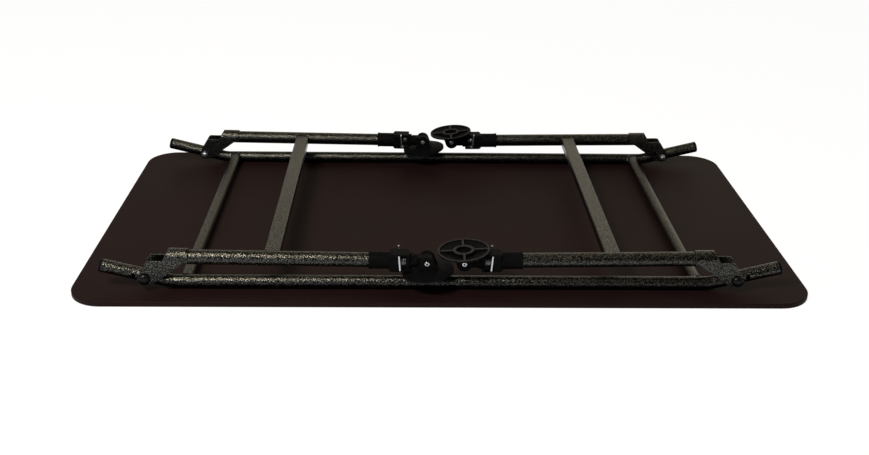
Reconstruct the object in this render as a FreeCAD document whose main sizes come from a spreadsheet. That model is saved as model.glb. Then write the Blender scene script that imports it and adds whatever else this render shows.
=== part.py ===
import FreeCAD, Part
import math
import os

import Sketcher
from FreeCAD import Placement, Rotation, Vector

# Folding camp table, lying on its top with both leg pairs folded over the underside.
# X runs along the table, Y away from the viewer, Z up; the origin is under the middle of the top.

doc = FreeCAD.newDocument("folding_table")

# Driving sizes in millimetres and degrees
SIZES = {
    "top_length": 1100, "top_width": 620, "top_thickness": 8,
    "top_corner_radius": 52, "top_edge_radius": 1.2,
    "rail_inset": 48, "rail_radius": 10, "rail_wall": 1.5,
    "bend_inset": 150, "rail_bend_radius": 60, "rail_bend_angle": 14.2,
    "stub_length": 104, "stub_hole_radius": 3.3, "stub_hole_offset": 16.8,
    "plug_rim": 4.5, "plug_stem": 14, "plug_clearance": 0.05, "lead_in": 1,
    "cross_tube_back": 19, "cross_tube_radius": 9, "cross_tube_wall": 1.5,
    "screw_radius": 2, "screw_head_radius": 4, "screw_grip": 6,
    "screw_count": 5, "screw_end_gap": 60,
    "pivot_along": 39.2, "pivot_radius": 3, "pivot_clearance": 0.05,
    "bolt_head_radius": 5.5, "bolt_head_height": 3, "bolt_tip": 2.5, "bolt_bevel": 0.8,
    "nut_flats": 10, "nut_height": 5,
    "cap_radius": 8.6, "cap_height": 7,
    "washer_radius": 8, "washer_gap": 0.05,
    "leg_radius": 11, "leg_wall": 1.5, "leg_offset": 31, "leg_start": 36,
    "fold_sag": 0.75, "nest_gap": 7.2, "nest_shift": 3.75,
    "sheet_wall": 2, "bracket_end": 64.5, "bracket_lobe": 10, "bracket_slant": 8.5,
    "bracket_corner": 5, "bracket_plate_top": 29, "bracket_heel": 58, "bracket_skirt": 5,
    "bar_along": 185, "bar_width": 23, "bar_height": 15, "bar_wall": 1.5, "bar_corner": 2,
    "sleeve_length": 29.5, "sleeve_radius": 13, "sleeve_rim": 0.6, "sleeve_rim_length": 2.5,
    "block_size": 28, "block_length": 30, "block_corner": 4, "block_chamfer": 3,
    "boss_radius": 12, "boss_length": 5, "window_start": 13, "window_end": 26, "window_height": 25,
    "slide_clearance": 0.08,
    "plate_pivot": 17, "plate_thickness": 2.4, "plate_width": 24, "plate_tab": 12,
    "plate_rise": 2.5, "plate_drop": 1.5, "plate_lean": 5, "plate_clearance": 0.4,
    "wing_reach": 5, "wing_gap": 0.5, "wing_drop": 3, "wing_bevel": 1.5,
    "spring_radius": 10.4, "spring_wire": 1.4, "spring_turns": 3, "spring_gap": 0.1,
    "inner_radius": 9, "inner_wall": 1.5, "inner_setback": 80, "inner_reach": 35.4,
    "bush_length": 10, "bush_stem": 12,
    "ankle_collar": 10, "ankle_collar_length": 6.6, "ankle_stem": 18,
    "ankle_pin": 56.4, "tongue_half": 7.5, "tongue_lobe": 10,
    "foot_radius": 38.5, "foot_depth": 18.3, "foot_rim": 2.7, "foot_rim_height": 3.2,
    "foot_hub": 16, "foot_hub_hole": 11.5, "foot_floor": 2.5, "foot_dish": 1.6,
    "foot_spokes": 4, "foot_spoke_width": 3.2,
    "ear_gap": 0.4, "ear_wall": 5, "ear_lobe": 11.5, "ear_base": 15,
    "pin_radius": 2.5, "pin_clearance": 0.05, "pin_head": 4, "pin_head_height": 1.2, "pin_bore": 1.4,
    "pin_bevel": 0.6,
    "near_left_tilt": 6, "far_left_tilt": 7, "near_right_tilt": 4, "far_right_tilt": 6,
}

# Sizes that follow: the rails from the top, the legs from the room that the nested feet leave them
FOLLOWING = {
    "rail_spacing": "=top_width - 2 * rail_inset",
    "rail_bend_x": "=top_length / 2 - bend_inset",
    "cross_tube_x": "=rail_bend_x - cross_tube_back",
    "screw_pitch": "=2 * (rail_bend_x - screw_end_gap) / (screw_count - 1)",
    "pivot_x": "=rail_bend_x + pivot_along * cos(rail_bend_angle * 1 deg)",
    "nest_span": "=2 * ankle_pin + foot_radius + tongue_lobe + nest_gap",
    "left_reach": "=pivot_x - nest_span / 2 + nest_shift",
    "right_reach": "=pivot_x - nest_span / 2 - nest_shift",
    "inner_length": "=right_reach - inner_setback",
}

sheet = doc.addObject("Spreadsheet::Sheet", "Sizes")
for row, (alias, number) in enumerate((SIZES | FOLLOWING).items(), start=1):
    sheet.set(f"A{row}", alias)
    sheet.set(f"B{row}", str(number))
    sheet.setAlias(f"B{row}", alias)
doc.recompute()


def size(alias):
    return float(sheet.get(alias))


def value(expression):
    return float(sheet.evalExpression(expression))


def bind(thing, **expressions):
    for name, expression in expressions.items():
        thing.setExpression(name, expression)
    return thing


# Directions used to lay local shapes into the table's frame
AHEAD = Rotation()
X_TO_Y = Rotation(Vector(0, 0, 1), 90)
X_TO_MINUS_Y = Rotation(Vector(0, 0, 1), -90)
X_TO_Z = Rotation(Vector(0, 1, 0), -90)
Z_TO_X = Rotation(Vector(0, 1, 0), 90)
Z_TO_Y = Rotation(Vector(1, 0, 0), -90)
SIDE_ON = Rotation(Vector(1, 0, 0), 90)
END_ON = Rotation(Vector(1, 1, 1), 120)


# Sketch helpers: every point is held by two bound distances from the sketch's origin
def hold(sketch, geometry, point, across, up):
    for kind, expression in (("DistanceX", across), ("DistanceY", up)):
        constraint = Sketcher.Constraint(kind, -1, 1, geometry, point, value(expression))
        index = sketch.addConstraint(constraint)
        sketch.setExpression(f"Constraints[{index}]", expression)


def draw_outline(sketch, points):
    spots = [Vector(value(across), value(up), 0) for across, up in points]
    first = sketch.GeometryCount
    for start, end in zip(spots, spots[1:] + spots[:1]):
        sketch.addGeometry(Part.LineSegment(start, end))
    count = len(points)
    for step in range(count):
        line = first + step
        following = first + (step + 1) % count
        sketch.addConstraint(Sketcher.Constraint("Coincident", line, 2, following, 1))
    for step, (across, up) in enumerate(points):
        hold(sketch, first + step, 1, across, up)


def draw_circle(sketch, radius, across="0", up="0"):
    centre = Vector(value(across), value(up), 0)
    circle = sketch.addGeometry(Part.Circle(centre, Vector(0, 0, 1), value(radius)))
    index = sketch.addConstraint(Sketcher.Constraint("Radius", circle, value(radius)))
    sketch.setExpression(f"Constraints[{index}]", radius)
    hold(sketch, circle, 3, across, up)


def draw_box(sketch, left, right, low, high):
    draw_outline(sketch, [(left, low), (right, low), (right, high), (left, high)])


# Part helpers
def cylinder(name, radius, length, base, turn):
    rod = doc.addObject("Part::Cylinder", name)
    bind(rod, Radius=radius, Height=length)
    rod.Placement = Placement(base, turn)
    return rod


def combine(kind, name, members):
    whole = doc.addObject(kind, name)
    if kind == "Part::MultiFuse":
        whole.Shapes = members
    else:
        whole.Links = members
    return whole


def cut(name, base, tool):
    result = doc.addObject("Part::Cut", name)
    result.Base = base
    result.Tool = tool
    return result


def turned(name, profile, place):
    sketch = doc.addObject("Sketcher::SketchObject", name + "_profile")
    draw_outline(sketch, profile)
    solid = doc.addObject("Part::Revolution", name)
    solid.Source = sketch
    solid.Axis = Vector(1, 0, 0)
    solid.Angle = 360
    solid.Solid = True
    solid.Placement = place
    return solid


def extruded(name, points, length, base, turn):
    sketch = doc.addObject("Sketcher::SketchObject", name + "_profile")
    draw_outline(sketch, points)
    solid = doc.addObject("Part::Extrusion", name)
    solid.Base = sketch
    solid.DirMode = "Custom"
    solid.Dir = Vector(0, 0, 1)
    solid.Solid = True
    bind(solid, LengthFwd=length)
    solid.Placement = Placement(base, turn)
    return solid


def picked_edges(shape, wanted):
    return [number for number, edge in enumerate(shape.Edges, start=1) if wanted(edge)]


def rounded(name, base, radius, wanted):
    doc.recompute()
    result = doc.addObject("Part::Fillet", name)
    result.Base = base
    result.Edges = [(number, value(radius), value(radius)) for number in picked_edges(base.Shape, wanted)]
    return result


def runs_along(edge, direction):
    if len(edge.Vertexes) < 2:
        return False
    span = edge.Vertexes[-1].Point - edge.Vertexes[0].Point
    return abs(span.normalize().dot(direction)) > 0.999


# Body helpers
def new_body(name, place):
    body = doc.addObject("PartDesign::Body", name)
    body.Placement = place
    return body


def plane_sketch(body, role, name):
    sketch = body.newObject("Sketcher::SketchObject", name)
    plane = [item for item in body.Origin.OriginFeatures if item.Role == role][0]
    sketch.AttachmentSupport = [(plane, "")]
    sketch.MapMode = "FlatFace"
    return sketch


def add_feature(body, kind, name, sketch, **settings):
    feature = body.newObject("PartDesign::" + kind, name)
    feature.Profile = sketch
    for key, setting in settings.items():
        if key == "bound":
            bind(feature, Length=setting)
        else:
            setattr(feature, key, setting)
    sketch.Visibility = False
    return feature


def dress(body, kind, name, base, wanted, **expressions):
    doc.recompute()
    chosen = [f"Edge{number}" for number in picked_edges(base.Shape, wanted)]
    feature = body.newObject("PartDesign::" + kind, name)
    feature.Base = (base, chosen)
    bind(feature, **expressions)
    return feature


def spin(body, name, sketch, axis):
    feature = body.newObject("PartDesign::Revolution", name)
    feature.Profile = sketch
    feature.ReferenceAxis = (sketch, [axis])
    feature.Angle = 360
    return feature


THROUGH = {"Type": "ThroughAll", "Midplane": True}

SIDES = {"left": -1, "right": 1}
ROWS = {"near": -1, "far": 1}

# Places worked out from the driving sizes
rail_y = size("rail_spacing") / 2
rail_z = size("top_thickness") + size("rail_radius")
bend = math.radians(size("rail_bend_angle"))
pivot_x = size("pivot_x")
pivot_z = rail_z + size("pivot_along") * math.sin(bend)


def stub_spot(side, along):
    reach = size("rail_bend_x") + along * math.cos(bend)
    return Vector(side * reach, 0, rail_z + along * math.sin(bend))


def stub_turn(side):
    lean = size("rail_bend_angle")
    return Rotation(Vector(0, 1, 0), 90 - lean) if side > 0 else Rotation(Vector(0, 1, 0), lean - 90)


def leg_frame(side, row):
    turn = Rotation(Vector(0, 0, 1), 180 if side > 0 else 0)
    sag = Rotation(Vector(0, 1, 0), size("fold_sag"))
    return Placement(Vector(side * pivot_x, row * rail_y, pivot_z), turn * sag)


def axis_frame(side, row):
    reach = size("right_reach" if side > 0 else "left_reach")
    return leg_frame(side, row) * Placement(Vector(reach, 0, size("leg_offset")), AHEAD)


def pivot_frame(side, row):
    outward = X_TO_Y if row > 0 else X_TO_MINUS_Y
    return Placement(Vector(side * pivot_x, row * rail_y, pivot_z), outward)


nodes = []


def finished(solid, label):
    solid.Label = label
    nodes.append(solid)
    return solid


# Screw places along both rails
def screw_spots():
    count = int(size("screw_count"))
    middle = (count - 1) / 2
    for row in ROWS.values():
        for step in range(count):
            yield Vector((step - middle) * size("screw_pitch"), row * rail_y, 0)


HEAD_DEPTH = "(Sizes.screw_head_radius - Sizes.screw_radius)"
SCREW_END = "(Sizes.top_thickness + Sizes.screw_grip)"

SCREW_PROFILE = [
    ("0", "0"), ("0", "Sizes.screw_head_radius"), (HEAD_DEPTH, "Sizes.screw_radius"),
    (SCREW_END + " - Sizes.screw_radius", "Sizes.screw_radius"), (SCREW_END, "0"),
]


# Table top: film-faced plywood sheet with countersunk holes in its face
def make_table_top():
    board = doc.addObject("Part::Box", "board")
    bind(board, Length="Sizes.top_length", Width="Sizes.top_width", Height="Sizes.top_thickness")
    board.Placement.Base = Vector(-size("top_length") / 2, -size("top_width") / 2, 0)
    upright = rounded("board_corners", board, "Sizes.top_corner_radius",
                      lambda edge: runs_along(edge, Vector(0, 0, 1)))
    eased = rounded("board_edges", upright, "Sizes.top_edge_radius",
                    lambda edge: not runs_along(edge, Vector(0, 0, 1)))
    holes = [turned("top_hole", SCREW_PROFILE, Placement(spot, X_TO_Z)) for spot in screw_spots()]
    return finished(cut("table_top", eased, combine("Part::MultiFuse", "top_holes", holes)), "table_top")


def make_top_screws():
    screws = [turned("top_screw", SCREW_PROFILE, Placement(spot, X_TO_Z)) for spot in screw_spots()]
    return finished(combine("Part::Compound", "top_screws", screws), "top_screws")


# Rails: one tube each, both ends bent away from the top to carry the leg pivots
def bent_bar(name, radius):
    setback = size("rail_bend_radius") * math.tan(bend / 2)
    inner_half = size("rail_bend_x") - setback
    bend_share = "Sizes.rail_bend_radius * tan(Sizes.rail_bend_angle / 2 * 1 deg)"
    straight_length = "2 * (Sizes.rail_bend_x - " + bend_share + ")"
    members = [cylinder(name + "_run", radius, straight_length, Vector(-inner_half, 0, rail_z), Z_TO_X)]
    stub_run = "Sizes.stub_length - " + bend_share
    for side in SIDES.values():
        elbow = doc.addObject("Part::Torus", name + "_bend")
        bind(elbow, Radius1="Sizes.rail_bend_radius", Radius2=radius, Angle3="Sizes.rail_bend_angle")
        centre = Vector(side * inner_half, 0, rail_z + size("rail_bend_radius"))
        upright = Rotation(Vector(1, 0, 0), 90)
        start = -90 if side > 0 else -90 - size("rail_bend_angle")
        elbow.Placement = Placement(centre, upright * Rotation(Vector(0, 0, 1), start))
        members.append(elbow)
        members.append(cylinder(name + "_stub", radius, stub_run, stub_spot(side, setback), stub_turn(side)))
    return combine("Part::MultiFuse", name, members)


def make_rail(label, row):
    solid = bent_bar("rail_outside", "Sizes.rail_radius")
    tools = [bent_bar("rail_inside", "Sizes.rail_radius - Sizes.rail_wall")]
    for side in SIDES.values():
        pivot = stub_spot(side, size("pivot_along")) - Vector(0, 2 * size("rail_radius"), 0)
        tools.append(cylinder("pivot_hole", "Sizes.pivot_radius", "4 * Sizes.rail_radius", pivot, Z_TO_Y))
        drain = stub_spot(side, size("pivot_along") + size("stub_hole_offset"))
        outward = Z_TO_Y if row > 0 else SIDE_ON
        tools.append(cylinder("stub_hole", "Sizes.stub_hole_radius", "2 * Sizes.rail_radius", drain, outward))
    for spot in screw_spots():
        if spot.y * row > 0:
            foot = Vector(spot.x, 0, 0)
            tools.append(cylinder("rail_screw_hole", "Sizes.screw_radius", SCREW_END, foot, AHEAD))
    rail = cut(label, solid, combine("Part::MultiFuse", "rail_cuts", tools))
    rail.Placement.Base = Vector(0, row * rail_y, 0)
    return finished(rail, label)


# Push-in plugs that close the rail ends
def make_rail_end_plugs():
    bore = "(Sizes.rail_radius - Sizes.rail_wall - Sizes.plug_clearance)"
    profile = [
        ("-Sizes.plug_stem", "0"), ("-Sizes.plug_stem", bore + " - Sizes.lead_in"),
        ("Sizes.lead_in - Sizes.plug_stem", bore), ("0", bore), ("0", "Sizes.rail_radius"),
        ("0.6 * Sizes.plug_rim", "Sizes.rail_radius"), ("0.87 * Sizes.plug_rim", "0.92 * Sizes.rail_radius"),
        ("Sizes.plug_rim", "0.76 * Sizes.rail_radius"),
        ("Sizes.plug_rim", "0"),
    ]
    plugs = []
    for side in SIDES.values():
        for row in ROWS.values():
            base = stub_spot(side, size("stub_length")) + Vector(0, row * rail_y, 0)
            along = stub_turn(side) * X_TO_Z
            plugs.append(turned("rail_plug", profile, Placement(base, along)))
    return finished(combine("Part::Compound", "rail_end_plugs", plugs), "rail_end_plugs")


# Cross tubes of the frame, saddled onto both rails
def make_cross_tube(label, side):
    base = Vector(side * size("cross_tube_x"), -rail_y, rail_z)
    outside = cylinder("cross_outside", "Sizes.cross_tube_radius", "Sizes.rail_spacing", base, Z_TO_Y)
    bore = "Sizes.cross_tube_radius - Sizes.cross_tube_wall"
    tools = [cylinder("cross_bore", bore, "Sizes.rail_spacing", base, Z_TO_Y)]
    for row in ROWS.values():
        start = Vector(base.x - 2 * size("cross_tube_radius"), row * rail_y, rail_z)
        tools.append(cylinder("saddle", "Sizes.rail_radius", "4 * Sizes.cross_tube_radius", start, Z_TO_X))
    return finished(cut(label, outside, combine("Part::MultiFuse", "cross_cuts", tools)), label)


# Leg pivots: bolt, nut, cap and two nylon washers at each rail end, X pointing outward
PLATE_FACE = "(Sizes.leg_radius + Sizes.sheet_wall + Sizes.washer_gap)"


def make_pivots():
    bolt_profile = [
        ("-" + PLATE_FACE + " - Sizes.nut_height - Sizes.bolt_tip", "0"),
        ("-" + PLATE_FACE + " - Sizes.nut_height - Sizes.bolt_tip", "Sizes.pivot_radius - Sizes.bolt_bevel"),
        ("-" + PLATE_FACE + " - Sizes.nut_height - Sizes.bolt_tip + Sizes.bolt_bevel", "Sizes.pivot_radius"),
        (PLATE_FACE, "Sizes.pivot_radius"), (PLATE_FACE, "Sizes.bolt_head_radius"),
        (PLATE_FACE + " + Sizes.bolt_head_height", "Sizes.bolt_head_radius"),
        (PLATE_FACE + " + Sizes.bolt_head_height", "0"),
    ]
    head_top = PLATE_FACE + " + Sizes.bolt_head_height"
    cap_profile = [
        (head_top, "0"), (head_top, "Sizes.bolt_head_radius"), (PLATE_FACE, "Sizes.bolt_head_radius"),
        (PLATE_FACE, "Sizes.cap_radius"), (PLATE_FACE + " + 0.35 * Sizes.cap_height", "Sizes.cap_radius"),
        (PLATE_FACE + " + 0.72 * Sizes.cap_height", "0.86 * Sizes.cap_radius"),
        (PLATE_FACE + " + 0.93 * Sizes.cap_height", "0.58 * Sizes.cap_radius"),
        (PLATE_FACE + " + Sizes.cap_height", "0.25 * Sizes.cap_radius"),
        (PLATE_FACE + " + Sizes.cap_height", "0"),
    ]
    bolts, nuts, caps, washers = [], [], [], []
    for side in SIDES.values():
        for row in ROWS.values():
            frame = pivot_frame(side, row)
            bolts.append(turned("pivot_bolt", bolt_profile, frame))
            caps.append(turned("pivot_cap", cap_profile, frame))
            nuts.append(make_nut(frame))
            for facing in SIDES.values():
                washers.append(make_washer(frame, facing))
    finished(combine("Part::Compound", "pivot_bolts", bolts), "pivot_bolts")
    finished(combine("Part::Compound", "pivot_nuts", nuts), "pivot_nuts")
    finished(combine("Part::Compound", "pivot_caps", caps), "pivot_caps")
    finished(combine("Part::Compound", "pivot_washers", washers), "pivot_washers")


def make_nut(frame):
    hexagon = doc.addObject("Part::Prism", "nut_hexagon")
    hexagon.Polygon = 6
    bind(hexagon, Circumradius="Sizes.nut_flats / sqrt(3)", Height="Sizes.nut_height")
    start = Vector(-value(PLATE_FACE) - size("nut_height"), 0, 0)
    hexagon.Placement = Placement(start, Z_TO_X)
    hole = cylinder("nut_hole", "Sizes.pivot_radius", "Sizes.nut_height", start, Z_TO_X)
    nut = cut("pivot_nut", hexagon, hole)
    nut.Placement = frame
    return nut


def make_washer(frame, facing):
    thickness = "(Sizes.leg_radius - Sizes.rail_radius - 2 * Sizes.washer_gap)"
    start = size("rail_radius") + size("washer_gap")
    turn = Z_TO_X if facing > 0 else Rotation(Vector(0, 1, 0), -90)
    base = Vector(facing * start, 0, 0)
    disc = cylinder("washer_disc", "Sizes.washer_radius", thickness, base, turn)
    hole = cylinder("washer_hole", "Sizes.pivot_radius", thickness, base, turn)
    washer = cut("pivot_washer", disc, hole)
    washer.Placement = frame
    return washer


# Outer leg tube, from behind the pivot to the lock housing
def make_outer_leg(label, side, row):
    reach = "Sizes.right_reach" if side > 0 else "Sizes.left_reach"
    base = Vector(size("leg_start"), 0, size("leg_offset"))
    length = reach + " - Sizes.leg_start"
    outside = cylinder("leg_outside", "Sizes.leg_radius", length, base, Z_TO_X)
    bore = cylinder("leg_bore", "Sizes.leg_radius - Sizes.leg_wall", length, base, Z_TO_X)
    leg = cut(label, outside, bore)
    leg.Placement = leg_frame(side, row)
    return finished(leg, label)


# Hinge bracket: sheet folded over the leg tube, its cheeks reaching down past the rail stub
def make_hinge_bracket(label, side, row):
    outer = "(Sizes.leg_radius + Sizes.sheet_wall)"
    crown = "(Sizes.leg_offset + " + outer + ")"
    span = "Sizes.bracket_end + 2 * Sizes.bracket_lobe"
    start = Vector(-2 * size("bracket_lobe"), 0, 0)
    floor = "-2 * Sizes.bracket_lobe"
    outside = extruded("channel_outside", [("-" + outer, floor), (outer, floor), (outer, "Sizes.leg_offset"),
                                           ("-" + outer, "Sizes.leg_offset")], span, start, END_ON)
    inside = extruded("channel_inside", [("-Sizes.leg_radius", floor), ("Sizes.leg_radius", floor),
                                         ("Sizes.leg_radius", "Sizes.leg_offset"),
                                         ("-Sizes.leg_radius", "Sizes.leg_offset")], span, start, END_ON)
    ridge = start + Vector(0, 0, size("leg_offset"))
    round_outside = cylinder("wrap_outside", outer, span, ridge, Z_TO_X)
    round_inside = cylinder("wrap_inside", "Sizes.leg_radius", span, ridge, Z_TO_X)
    channel = cut("channel", combine("Part::MultiFuse", "channel_solid", [outside, round_outside]),
                  combine("Part::MultiFuse", "channel_hollow", [inside, round_inside]))
    skirt = "(Sizes.leg_offset - Sizes.bracket_skirt)"
    cheek_outline = [
        ("-0.86 * Sizes.bracket_lobe", "0.51 * Sizes.bracket_lobe"),
        ("0.84 * Sizes.bracket_lobe", "-Sizes.bracket_lobe"),
        ("Sizes.bracket_heel", skirt), ("Sizes.bracket_end", skirt), ("Sizes.bracket_end", crown),
        ("Sizes.leg_start", crown), ("Sizes.leg_start - Sizes.bracket_slant", "Sizes.bracket_plate_top"),
        ("0.6 * Sizes.bracket_lobe", "Sizes.bracket_plate_top"),
    ]
    half = size("leg_radius") + size("sheet_wall")
    width = "2 * " + outer
    cheek = extruded("cheek_sheet", cheek_outline, width, Vector(0, half, 0), SIDE_ON)
    corner = Vector(0.6 * size("bracket_lobe"), 0, size("bracket_plate_top"))
    eased = rounded("cheek_corner", cheek, "Sizes.bracket_corner",
                    lambda edge: (edge.CenterOfMass - corner).Length < 1 and runs_along(edge, Vector(0, 1, 0)))
    lobe = cylinder("cheek_lobe", "Sizes.bracket_lobe", width, Vector(0, -half, 0), Z_TO_Y)
    shape = doc.addObject("Part::MultiCommon", "bracket_shape")
    shape.Shapes = [channel, combine("Part::MultiFuse", "cheek_form", [eased, lobe])]
    loose = "Sizes.pivot_radius + Sizes.pivot_clearance"
    hole = cylinder("bracket_hole", loose, width, Vector(0, -half, 0), Z_TO_Y)
    bracket = cut(label, shape, hole)
    bracket.Placement = leg_frame(side, row)
    return finished(bracket, label)


# Flat-sided tube that ties two legs together, saddled onto both
def make_leg_bar(label, side):
    body = new_body(label, leg_frame(side, 0))
    half_width = "Sizes.bar_width / 2"
    half_height = "Sizes.bar_height / 2"
    section = plane_sketch(body, "XZ_Plane", "bar_section")
    draw_box(section, "Sizes.bar_along - " + half_width, "Sizes.bar_along + " + half_width,
             "Sizes.leg_offset - " + half_height, "Sizes.leg_offset + " + half_height)
    solid = add_feature(body, "Pad", "bar_pad", section, bound="Sizes.rail_spacing", Midplane=True)
    dress(body, "Fillet", "bar_corners", solid, lambda edge: runs_along(edge, Vector(0, 1, 0)),
          Radius="Sizes.bar_corner")
    hollow = plane_sketch(body, "XZ_Plane", "bar_bore")
    draw_box(hollow, "Sizes.bar_along - " + half_width + " + Sizes.bar_wall",
             "Sizes.bar_along + " + half_width + " - Sizes.bar_wall",
             "Sizes.leg_offset - " + half_height + " + Sizes.bar_wall",
             "Sizes.leg_offset + " + half_height + " - Sizes.bar_wall")
    add_feature(body, "Pocket", "bar_hollow", hollow, **THROUGH)
    saddles = plane_sketch(body, "YZ_Plane", "bar_saddles")
    for hand in ("-", ""):
        draw_circle(saddles, "Sizes.leg_radius", hand + "Sizes.rail_spacing / 2", "Sizes.leg_offset")
    add_feature(body, "Pocket", "bar_ends", saddles, **THROUGH)
    return finished(body, label)


# Lock housing: sleeve over the leg tube, block with a window through it, boss for the inner leg
def make_lock_housing(label, side, row):
    body = new_body(label, axis_frame(side, row))
    half = "Sizes.block_size / 2"
    square = plane_sketch(body, "YZ_Plane", "block_section")
    draw_box(square, "-" + half, half, "-" + half, half)
    block = add_feature(body, "Pad", "block", square, bound="Sizes.block_length")
    limit = size("block_size") / 2

    def is_long_corner(edge):
        middle = edge.CenterOfMass
        return runs_along(edge, Vector(1, 0, 0)) and min(abs(middle.y), abs(middle.z)) > limit - 0.5

    def is_back_rim(edge):
        middle = edge.CenterOfMass
        flat = abs(edge.BoundBox.XMax) < 0.01 and abs(edge.BoundBox.XMin) < 0.01
        return flat and max(abs(middle.y), abs(middle.z)) > limit - 2

    soft = dress(body, "Fillet", "block_edges", block, is_long_corner, Radius="Sizes.block_corner")
    dress(body, "Chamfer", "block_bevel", soft, is_back_rim, Size="Sizes.block_chamfer")
    sleeve = plane_sketch(body, "XZ_Plane", "sleeve_profile")
    rim = "Sizes.sleeve_radius + Sizes.sleeve_rim"
    rim_end = "Sizes.sleeve_rim_length - Sizes.sleeve_length"
    draw_outline(sleeve, [
        ("-Sizes.sleeve_length", "Sizes.leg_radius"), ("-Sizes.sleeve_length", rim), (rim_end, rim),
        (rim_end + " + Sizes.sleeve_rim", "Sizes.sleeve_radius"),
        ("Sizes.block_chamfer", "Sizes.sleeve_radius"), ("Sizes.block_chamfer", "Sizes.inner_radius"),
        ("0", "Sizes.inner_radius"), ("0", "Sizes.leg_radius"),
    ])
    spin(body, "sleeve", sleeve, "H_Axis")
    front = plane_sketch(body, "YZ_Plane", "boss_section")
    draw_circle(front, "Sizes.boss_radius")
    add_feature(body, "Pad", "boss", front, bound="Sizes.block_length + Sizes.boss_length")
    bore = plane_sketch(body, "YZ_Plane", "bore_section")
    draw_circle(bore, "Sizes.inner_radius + Sizes.slide_clearance")
    add_feature(body, "Pocket", "bore", bore, Type="ThroughAll", Reversed=True)
    seat = plane_sketch(body, "YZ_Plane", "seat_section")
    draw_circle(seat, "Sizes.leg_radius")
    add_feature(body, "Pocket", "seat", seat, bound="Sizes.sleeve_length")
    window = plane_sketch(body, "XZ_Plane", "window_outline")
    draw_box(window, "Sizes.window_start", "Sizes.window_end",
             "-Sizes.window_height / 2", "Sizes.window_height / 2")
    add_feature(body, "Pocket", "window", window, **THROUGH)
    slot = plane_sketch(body, "XY_Plane", "heel_slot_outline")
    slot_half = "Sizes.plate_tab / 2 + Sizes.plate_clearance"
    slot_end = "Sizes.plate_pivot + Sizes.plate_thickness / 2 + Sizes.plate_clearance"
    draw_box(slot, "Sizes.window_start", slot_end, "-(" + slot_half + ")", slot_half)
    add_feature(body, "Pocket", "heel_slot", slot, Type="ThroughAll")
    return finished(body, label)


# Lock plate: leaning steel lever with a hole for the inner leg, its heel in the housing's floor
# and its thumb wing out through the window on the side towards the other leg of the pair
def plate_frame(side, row):
    foot = Vector(size("plate_pivot"), 0, -size("block_size") / 2)
    return axis_frame(side, row) * Placement(foot, Rotation(Vector(0, 1, 0), -size("plate_lean")))


def make_lock_plate(label, side, row):
    body = new_body(label, plate_frame(side, row))
    face = plane_sketch(body, "YZ_Plane", "plate_outline")
    mid = "Sizes.block_size / 2"
    low = mid + " - Sizes.window_height / 2 + Sizes.plate_clearance"
    high = mid + " + Sizes.window_height / 2 - Sizes.plate_clearance"
    heel = "Sizes.plate_tab / 2"
    wide = "Sizes.plate_width / 2"
    bottom = "-Sizes.plate_drop"
    top = "Sizes.block_size + Sizes.plate_rise"
    wing_low = mid + " - Sizes.wing_drop"
    wing_near = "Sizes.block_size / 2 + Sizes.wing_gap"
    wing_far = "Sizes.block_size / 2 + Sizes.wing_reach"
    corners = [
        ("-" + heel, bottom), (heel, bottom), (heel, low), (wide, low), (wide, wing_low), (wing_far, wing_low),
        (wing_far, top + " - Sizes.wing_bevel"), (wing_far + " - Sizes.wing_bevel", top), (wing_near, top),
        (wing_near, high), ("-" + wide, high), ("-" + wide, low), ("-" + heel, low),
    ]
    inward = -row if side < 0 else row
    turned = "" if inward > 0 else "-"
    draw_outline(face, [(turned + "(" + across + ")", rise) for across, rise in corners])
    draw_circle(face, "Sizes.inner_radius + Sizes.plate_clearance", "0", mid)
    add_feature(body, "Pad", "plate_pad", face, bound="Sizes.plate_thickness", Midplane=True)
    return finished(body, label)


# Lock spring: round wire wound on arcs, between the plate and the front wall of the housing
def biarc(start, start_way, end, end_way):
    chord = end - start
    both = start_way + end_way
    bend_share = 2 * (1 - start_way.dot(end_way))
    reach = (math.sqrt(chord.dot(both) ** 2 + bend_share * chord.dot(chord)) - chord.dot(both)) / bend_share
    middle = (start + end + (start_way - end_way) * reach) * 0.5
    return [half_arc(start, start_way, middle), half_arc(end, end_way * -1, middle, True)]


def half_arc(start, way, end, reverse=False):
    chord = end - start
    along = Vector(chord).normalize()
    lean = math.acos(max(-1.0, min(1.0, way.dot(along))))
    aside = (way - along * way.dot(along)).normalize()
    crown = (start + end) * 0.5 + aside * (chord.Length / 2 * math.tan(lean / 2))
    arc = Part.Arc(end, crown, start) if reverse else Part.Arc(start, crown, end)
    return arc.toShape()


def make_lock_spring(label, side, row):
    wire = size("spring_wire")
    radius = size("spring_radius")
    start = size("plate_pivot") + size("plate_thickness") / 2 + wire / 2 + size("spring_gap")
    length = size("window_end") - wire / 2 - start
    turns = size("spring_turns")
    rise = length / (turns * 2 * math.pi)
    steps = int(turns * 4)

    def spot(angle):
        return Vector(start + rise * angle, -radius * math.sin(angle), -radius * math.cos(angle))

    def way(angle):
        return Vector(rise, -radius * math.cos(angle), radius * math.sin(angle)).normalize()

    quarter = math.pi / 2
    edges = []
    for step in range(steps):
        low, high = step * quarter, (step + 1) * quarter
        edges += biarc(spot(low), way(low), spot(high), way(high))
    path = Part.Wire(edges)
    section = Part.Wire([Part.makeCircle(wire / 2, spot(0), way(0))])
    shell = Part.BRepOffsetAPI.MakePipeShell(path)
    shell.add(section)
    shell.build()
    shell.makeSolid()
    spring = doc.addObject("Part::Feature", label)
    spring.Shape = shell.shape()
    spring.Placement = axis_frame(side, row)
    pitch = length / turns
    print(label, "least gap between turns", round(pitch - wire, 2), "mm")
    return finished(spring, label)


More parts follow.
